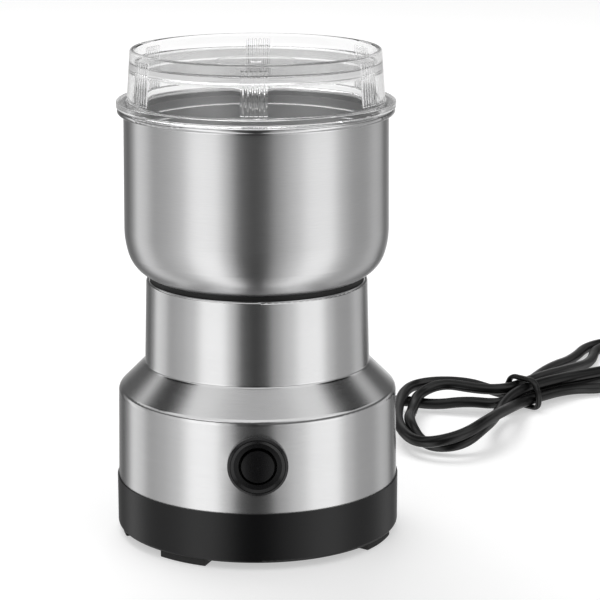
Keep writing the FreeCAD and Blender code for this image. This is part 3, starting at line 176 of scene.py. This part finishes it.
# cord: one curve for the lead, the tied hank and the tail
cordRoute = {
    "radius": 2.3,
    "sides": 6,
    "steps": 10,
    # corner points in millimetres: the route's own, moved a little to follow the photograph
    "lead": [(0, 50, 11.8), (0, 87, 11.8), (1, 103, 10.2), (11.8, 118.8, 6.2), (26.5, 134.1, 3.7),
             (43.3, 144.7, 3.5), (59.6, 148.1, 4.8), (75.2, 145, 2.9), (88.9, 141.4, 5.7),
             (102.7, 139.7, 4.6), (114, 151, 4.9)],
    "rightInner": [(129.6, 166.6, 4.9), (144.7, 178.9, 3.1), (161.9, 193.2, 4.3),
                   (183.5, 209.1, 3.3), (198.2, 232.1, 2.4), (185, 252.1, 2.3),
                   (159, 245.7, 2.3), (153.2, 216.1, 2.3), (139.1, 188.5, 6.8),
                   (122.6, 164.6, 9.8)],
    "leftInner": [(109.7, 149.9, 9.3), (101.9, 145.7, 9.5), (92.8, 146.9, 9.8),
                  (79.5, 151.4, 11.1), (68.2, 144.9, 8.1), (65, 127.4, 5.5), (61.5, 101.7, 9.4),
                  (66.9, 86.2, 2.5), (82.2, 82.1, 3.8), (93.5, 93.2, 9.6), (98.4, 118.4, 4.4),
                  (108.1, 142.3, 8.9)],
    "rightOuter": [(125, 157.4, 10), (142.8, 175, 8), (164.9, 190.4, 7.4), (190.4, 205.9, 3.8),
                   (203.6, 234.5, 2.3), (184.9, 259.1, 2.3), (156.6, 250.4, 2.3),
                   (145, 221.5, 2.3), (131, 192.4, 6.8), (118.3, 165.4, 7.2)],
    "leftOuter": [(110.7, 154.1, 3.9), (100.2, 149.8, 8.4), (90.5, 153.7, 10.6),
                  (75.6, 157.4, 10.2), (63.7, 150.1, 9.6), (58.7, 127.2, 7.3), (57.2, 98.4, 7.5),
                  (63.7, 78.5, 5.7), (80.9, 75.2, 9.8), (94.9, 92.1, 13), (105.2, 116.8, 9.9),
                  (111.9, 140.7, 4.9)],
    "tail": [(117.7, 147.3, 4.9), (136.1, 166.9, 3.9), (154.1, 171.8, 2.3), (169, 180, 6.5),
             (186, 185, 6.5)],
}


def cordPoints(c):
    stretches = ["lead", "rightInner", "leftInner", "rightOuter", "leftOuter", "tail"]
    return [Vector(p) * mm for name in stretches for p in c[name]]


def makeCord(c):
    curve = bpy.data.curves.new("cordLine", "CURVE")
    curve.dimensions = "3D"
    # each point has the cord's radius, so that the curve's own box fits it
    curve.bevel_depth = 1.0
    curve.bevel_resolution = c["sides"]
    curve.resolution_u = c["steps"]
    curve.use_fill_caps = True
    spline = curve.splines.new("NURBS")
    points = cordPoints(c)
    spline.points.add(len(points) - 1)
    for p, q in zip(spline.points, points):
        p.co = (*q, 1.0)
        p.radius = c["radius"] * mm
    spline.order_u = 3
    spline.use_endpoint_u = True
    line = bpy.data.objects.new("cordLine", curve)
    scene.collection.objects.link(line)
    return line


cord = makeCord(cordRoute)
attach(cord, "housing")
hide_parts("cord_lead", "cord_hank", "cord_tail")
print("cord laid")


# surround: what the steel and the lid reflect. Heights and turns are in degrees
surround = {
    "fill": 1.0,
    "crown": 0.95,           # the ceiling
    "zenith": 0.31,          # its middle, straight above
    "zenithFrom": (66, 75),
    "ceilingFrom": (24, 36),
    "line": 0.12,            # a dark line above the panels, for the rounded edges
    "lineLow": (3, 9),
    "lineHigh": (17, 23),
    "gap": 0.02,             # dark gaps at both sides of the ceiling
    "gapFrom": (84, 98),
    "gapLow": (28, 35),
    "gapHigh": (52, 59),
    "lidEdge": 0.85,         # how white the light is that leaves the lid after many turns in it
    "lidEdgeAfter": 2.5,     # mirrorings
    "lidGlow": 0.20,         # how white the light is that reaches steel through the lid
    # brightness of the panels round the object, from the camera's side, plus is to the right
    "panels": [
        (-176, 0.75), (-161, 0.25), (-146, 0.12), (-136, 0.30), (-124, 0.95), (-112, 0.80),
        (-100, 0.45), (-86, 0.55), (-70, 0.75), (-54, 1.35), (-36, 1.35), (-26, 0.75),
        (-14, 0.10), (-2, 0.04), (8, 0.08), (18, 0.45), (34, 0.80), (48, 1.25), (66, 1.30),
        (80, 0.70), (92, 0.45), (108, 0.42), (124, 0.62), (134, 0.55), (146, 0.14),
        (158, 0.30), (170, 0.80),
    ],
    "brightest": 2.0,        # a ramp ends at 1, so its colours are shares of this
}


def makeWorld(s):
    world = bpy.data.worlds.new("studio")
    scene.world = world
    t = Tree(world)
    xyz = t.split(t.add("ShaderNodeTexCoord").outputs["Generated"])
    turn = t.math("ARCTAN2", xyz[0], t.math("MULTIPLY", xyz[1], -1.0))
    share = t.math("MULTIPLY_ADD", turn, 1 / (2 * math.pi), 0.5)
    ring = t.ramp(share, [((a + 180) / 360, v / s["brightest"]) for a, v in s["panels"]])
    ring = t.mix(1.0, ring, grey(s["brightest"]), "MULTIPLY")
    rise = t.degrees(t.math("ARCSINE", xyz[2]))
    away = t.math("ABSOLUTE", t.degrees(turn))
    gap = t.math("MULTIPLY", t.band(away, *s["gapFrom"]),
                 t.window(rise, s["gapLow"], s["gapHigh"]))
    ceiling = t.mix(t.band(rise, *s["zenithFrom"]), grey(s["crown"]), grey(s["zenith"]))
    ceiling = t.mix(gap, ceiling, grey(s["gap"]))
    line = t.window(rise, s["lineLow"], s["lineHigh"])
    ring = t.mix(line, ring, grey(s["line"]))
    colour = t.mix(t.band(rise, *s["ceilingFrom"]), ring, ceiling)
    soft = t.add("ShaderNodeBackground", Color=colour, Strength=s["fill"])
    white = t.add("ShaderNodeBackground", Color=grey(1.0), Strength=1.0)
    # the camera sees white, also through the lid
    path = t.add("ShaderNodeLightPath").outputs
    bounced = t.band(path["Glossy Depth"], 0.0, 1.0, 1.0, s["lidGlow"])
    through = t.math("MULTIPLY", path["Is Transmission Ray"], bounced)
    late = t.math("MULTIPLY", t.math("GREATER_THAN", path["Glossy Depth"], s["lidEdgeAfter"]),
                  s["lidEdge"])
    seen = t.math("MAXIMUM", t.math("MAXIMUM", path["Is Camera Ray"], late), through)
    t.finish("ShaderNodeOutputWorld", t.mixShaders(seen, soft.outputs[0], white.outputs[0]))


makeWorld(surround)


# floor
floorLook = {
    "reach": 6.0,
    "drop": 0.0002,          # below the feet
    "tone": 0.97,
    "grain": 6.0,
    "grainTone": 0.02,
    "glow": 0.35,            # share of the floor that takes no shade
    "lift": 1.41,            # brightness of that share
}


def makeFloor(f):
    r = f["reach"]
    mesh = bpy.data.meshes.new("floor")
    mesh.from_pydata([(-r, -r, 0), (r, -r, 0), (r, r, 0), (-r, r, 0)], [], [(0, 1, 2, 3)])
    floor = bpy.data.objects.new("floor", mesh)
    scene.collection.objects.link(floor)
    floor.location.z = -f["drop"]
    floor.visible_glossy = False
    mat = bpy.data.materials.new("floorPaint")
    t = Tree(mat)
    grain = t.noise(t.objectPlace(), f["grain"], 2.0)
    colour = t.plain(t.math("MULTIPLY_ADD", grain, f["grainTone"], f["tone"]))
    matt = t.add("ShaderNodeBsdfDiffuse", Color=colour)
    glow = t.add("ShaderNodeEmission", Color=colour, Strength=f["lift"])
    t.finish("ShaderNodeOutputMaterial",
             t.mixShaders(f["glow"], matt.outputs[0], glow.outputs[0]))
    mesh.materials.append(mat)


makeFloor(floorLook)


# one soft lamp above and behind the object
lamp = {
    "size": 1.0,
    "power": 14.0,
    "place": (-0.3, 0.8, 1.5),
    "turn": (-25.0, -10.0, 0.0),
}


def makeLamp(p):
    data = bpy.data.lights.new("overhead", "AREA")
    data.shape = "SQUARE"
    data.size = p["size"]
    data.energy = p["power"]
    light = bpy.data.objects.new("overhead", data)
    light.location = p["place"]
    light.rotation_euler = [math.radians(a) for a in p["turn"]]
    light.visible_glossy = False
    scene.collection.objects.link(light)


makeLamp(lamp)
scene.view_settings.view_transform = "Standard"
print("studio set")


# materials
def dress(names, mat):
    for name in names:
        for s in nodes[name].material_slots:
            s.material = mat


def shade(colour, share):
    return (*[v * share for v in colour], 1)


# brushed steel: the bowl and the outer shell, with fine lines round the upright axis
steelLook = {
    "tone": 0.68,
    "lineTone": 0.10,
    "linesRound": 9.0,
    "linesUp": 5200.0,
    "blotch": 0.03,
    "blotchTone": 0.03,
    "blue": 1.005,
    "roughSpread": 0.08,
    "stretch": 0.75,
    "quarterTurn": 0.25,     # stretches the light across the lines
    "edgeRough": 0.12,
    "edgeFade": 0.0004,
    "bumpDepth": 0.00002,
}
bowlLook = {**steelLook, "rough": 0.30, "bump": 0.25, "smooth": [(0.1520, 0.1550)]}
shellLook = {**steelLook, "rough": 0.25, "bump": 0.2,
             "smooth": [(0.0519, 0.0537), (0.0624, 0.0632), (0.0922, 0.0932)]}


def brushedSteel(name, look):
    mat = bpy.data.materials.new(name)
    t = Tree(mat)
    xyz = t.split(t.objectPlace())
    along = t.math("MULTIPLY", t.turnRound(xyz), look["linesRound"])
    wide = t.math("MULTIPLY", t.reach(xyz), look["linesUp"])
    tall = t.math("MULTIPLY", xyz[2], look["linesUp"])
    place = t.add("ShaderNodeCombineXYZ", X=along, Y=wide, Z=tall).outputs[0]
    lines = t.noise(place, 1.0, 3.0, Roughness=0.6)
    blotch = t.noise(place, look["blotch"], 2.0)
    tone = t.math("ADD", t.spread(lines, look["lineTone"], look["tone"]),
                  t.spread(blotch, look["blotchTone"], 0.0))
    colour = t.plain(tone, t.math("MULTIPLY", tone, look["blue"]))
    rough = t.spread(lines, look["roughSpread"], look["rough"])
    # rounded edges are rubbed smoother
    fade = look["edgeFade"]
    for low, high in look["smooth"]:
        edge = t.window(xyz[2], (low - fade, low), (high, high + fade))
        rough = t.math("MULTIPLY_ADD", edge, t.math("SUBTRACT", look["edgeRough"], rough), rough)
    tangent = t.add("ShaderNodeTangent")
    tangent.direction_type = "RADIAL"
    tangent.axis = "Z"
    t.finish("ShaderNodeOutputMaterial", t.principled(
        Base_Color=colour, Metallic=1.0, Roughness=rough, Anisotropic=look["stretch"],
        Anisotropic_Rotation=look["quarterTurn"], Tangent=tangent.outputs[0],
        Normal=t.bump(lines, look["bump"], look["bumpDepth"])))
    return mat


dress(["bowl"], brushedSteel("bowlSteel", bowlLook))
dress(["outer_shell"], brushedSteel("shellSteel", shellLook))


# clear plastic: the lid
lidLook = {
    "tone": 0.975,
    "rough": 0.02,
    "ior": 1.49,
    "haze": 40.0,
    "hazeSpread": 0.01,
    "turns": 2.5,            # mirrorings inside the walls, after which light is let out
    "letOut": 0.9,
    # the moulded ribs are rounded by a bump that follows the angle round the axis, in degrees
    "groupPitch": 60.0,
    "ribTurn": -91.0,
    "ribPitch": 2.0,
    "ribHalf": 6.0,          # half of a group
    "ribHalfFade": 0.1,
    "ribIn": 0.0441,         # distance from the axis
    "ribEnds": (0.1579, 0.1728),
    "ribFade": 0.0002,
    "ribBump": 0.0006,
}


def ribHeight(t, place, look):
    xyz = t.split(place)
    turn = t.degrees(t.turnRound(xyz))
    half = look["groupPitch"] / 2
    across = t.math("WRAP", t.math("SUBTRACT", turn, look["ribTurn"]), half, -half)
    wave = t.math("COSINE", t.math("MULTIPLY", across, 2 * math.pi / look["ribPitch"]))
    ribs = t.math("MULTIPLY_ADD", wave, -0.5, 0.5)
    fade = look["ribHalfFade"]
    inside = t.band(t.math("ABSOLUTE", across), look["ribHalf"] - fade, look["ribHalf"] + fade,
                    1.0, 0.0)
    fade = look["ribFade"]
    outer = t.band(t.reach(xyz), look["ribIn"] - fade, look["ribIn"])
    low, high = look["ribEnds"]
    level = t.window(xyz[2], (low - fade, low + fade), (high - fade, high + fade))
    return t.math("MULTIPLY", ribs, t.math("MULTIPLY", inside, t.math("MULTIPLY", outer, level)))


def clearPlastic(name, look):
    mat = bpy.data.materials.new(name)
    t = Tree(mat)
    place = t.objectPlace()
    haze = t.noise(place, look["haze"], 2.0)
    colour = t.plain(t.math("MULTIPLY_ADD", haze, look["hazeSpread"], look["tone"]))
    rough = t.math("MULTIPLY_ADD", haze, look["hazeSpread"], look["rough"])
    clear = t.principled(Base_Color=colour, Roughness=rough, IOR=look["ior"],
                         Transmission_Weight=1.0,
                         Normal=t.bump(ribHeight(t, place, look), 1.0, look["ribBump"]))
    # light that has been thrown to and fro inside the walls is let out
    path = t.add("ShaderNodeLightPath").outputs
    late = t.math("GREATER_THAN", path["Glossy Depth"], look["turns"])
    out = t.add("ShaderNodeBsdfTransparent", Color=grey(look["letOut"])).outputs[0]
    t.finish("ShaderNodeOutputMaterial", t.mixShaders(late, clear, out))
    return mat


dress(["lid"], clearPlastic("lidClear", lidLook))


# plastics and rubbers
plasticLook = {
    "cloud": 30.0,
    "cloudTone": 0.1,
    "roughSpread": 0.1,
    "bumpDepth": 0.0001,
}


def plainPlastic(name, look):
    mat = bpy.data.materials.new(name)
    t = Tree(mat)
    place = t.objectPlace()
    grain = t.noise(place, look["grain"], 3.0)
    cloud = t.noise(place, look["cloud"], 2.0)
    colour = t.mix(cloud, shade(look["colour"], 1 - look["cloudTone"]),
                   shade(look["colour"], 1 + look["cloudTone"]))
    t.finish("ShaderNodeOutputMaterial", t.principled(
        Base_Color=colour, Roughness=t.spread(grain, look["roughSpread"], look["rough"]),
        Specular_IOR_Level=look["specular"],
        Normal=t.bump(grain, look["bump"], look["bumpDepth"])))
    return mat


plastics = {
    "basePlastic": {
        "on": ["base_cup"],
        "colour": (0.003, 0.003, 0.0035), "rough": 0.30, "specular": 0.36,
        "grain": 1800.0, "bump": 0.2},
    "blackRubber": {
        "on": ["rubber_feet", "bowl_gasket", "shaft_seal", "switch_seal", "rubber_mounts",
               "cord_gland"],
        "colour": (0.007, 0.007, 0.007), "rough": 0.55, "specular": 0.4,
        "grain": 900.0, "bump": 0.3},
    "glossPlastic": {
        "on": ["switch_bezel", "switch_ring_nut", "button_cap", "plug_body"],
        "colour": (0.004, 0.004, 0.0045), "rough": 0.26, "specular": 0.4,
        "grain": 1500.0, "bump": 0.08},
    "cordSkin": {
        "on": ["cord_tie", "inner_leads", "cord_lead", "cord_hank", "cord_tail"],
        "colour": (0.0035, 0.0035, 0.0035), "rough": 0.30, "specular": 0.5,
        "grain": 700.0, "bump": 0.12},
    "greyPlastic": {
        "on": ["inner_frame", "brush_holders", "switch_body", "terminal_block",
               "carbon_brushes", "cord_clamp"],
        "colour": (0.10, 0.10, 0.10), "rough": 0.5, "specular": 0.4,
        "grain": 900.0, "bump": 0.2},
    "nylon": {
        "on": ["cooling_fan"],
        "colour": (0.75, 0.74, 0.68), "rough": 0.45, "specular": 0.4,
        "grain": 600.0, "bump": 0.1},
    "filmCase": {
        "on": ["capacitor"],
        "colour": (0.55, 0.38, 0.05), "rough": 0.35, "specular": 0.5,
        "grain": 400.0, "bump": 0.05},
}

for name, look in plastics.items():
    dress(look["on"], plainPlastic(name, {**plasticLook, **look}))
cord.data.materials.append(bpy.data.materials["cordSkin"])


# bare metals
metalLook = {
    "darkest": 0.85,
    "roughSpread": 0.12,
    "bump": 0.1,
    "bumpDepth": 0.0001,
}


def plainMetal(name, look):
    mat = bpy.data.materials.new(name)
    t = Tree(mat)
    grain = t.noise(t.objectPlace(), look["grain"], 3.0)
    colour = t.mix(grain, shade(look["colour"], look["darkest"]), shade(look["colour"], 1))
    t.finish("ShaderNodeOutputMaterial", t.principled(
        Base_Color=colour, Metallic=1.0,
        Roughness=t.spread(grain, look["roughSpread"], look["rough"]),
        Normal=t.bump(grain, look["bump"], look["bumpDepth"])))
    return mat


metals = {
    "brightSteel": {
        "on": ["base_screws", "bowl_studs", "bowl_nuts", "stator_screws", "mount_screws",
               "clamp_screws", "brush_springs", "button_spring", "drive_shaft",
               "thrust_washers", "hub_sleeve", "blade", "blade_nut", "plug_pins"],
        "colour": (0.66, 0.66, 0.66), "rough": 0.25, "grain": 500.0},
    "castAlloy": {
        "on": ["motor_top_bracket", "motor_bottom_bracket"],
        "colour": (0.62, 0.62, 0.63), "rough": 0.5, "grain": 700.0},
    "bronze": {
        "on": ["upper_bush", "lower_bush"],
        "colour": (0.55, 0.38, 0.18), "rough": 0.5, "grain": 900.0},
    "copper": {
        "on": ["field_coils", "armature_winding", "commutator"],
        "colour": (0.66, 0.30, 0.14), "rough": 0.35, "grain": 300.0},
    "brass": {
        "on": ["switch_terminals"],
        "colour": (0.72, 0.55, 0.24), "rough": 0.3, "grain": 400.0},
    "coreIron": {
        "on": ["stator_core", "armature_core"],
        "colour": (0.30, 0.30, 0.32), "rough": 0.55, "grain": 800.0},
}

for name, look in metals.items():
    dress(look["on"], plainMetal(name, {**metalLook, **look}))
print("materials set")


# refresh the view layer
bpy.context.view_layer.update()
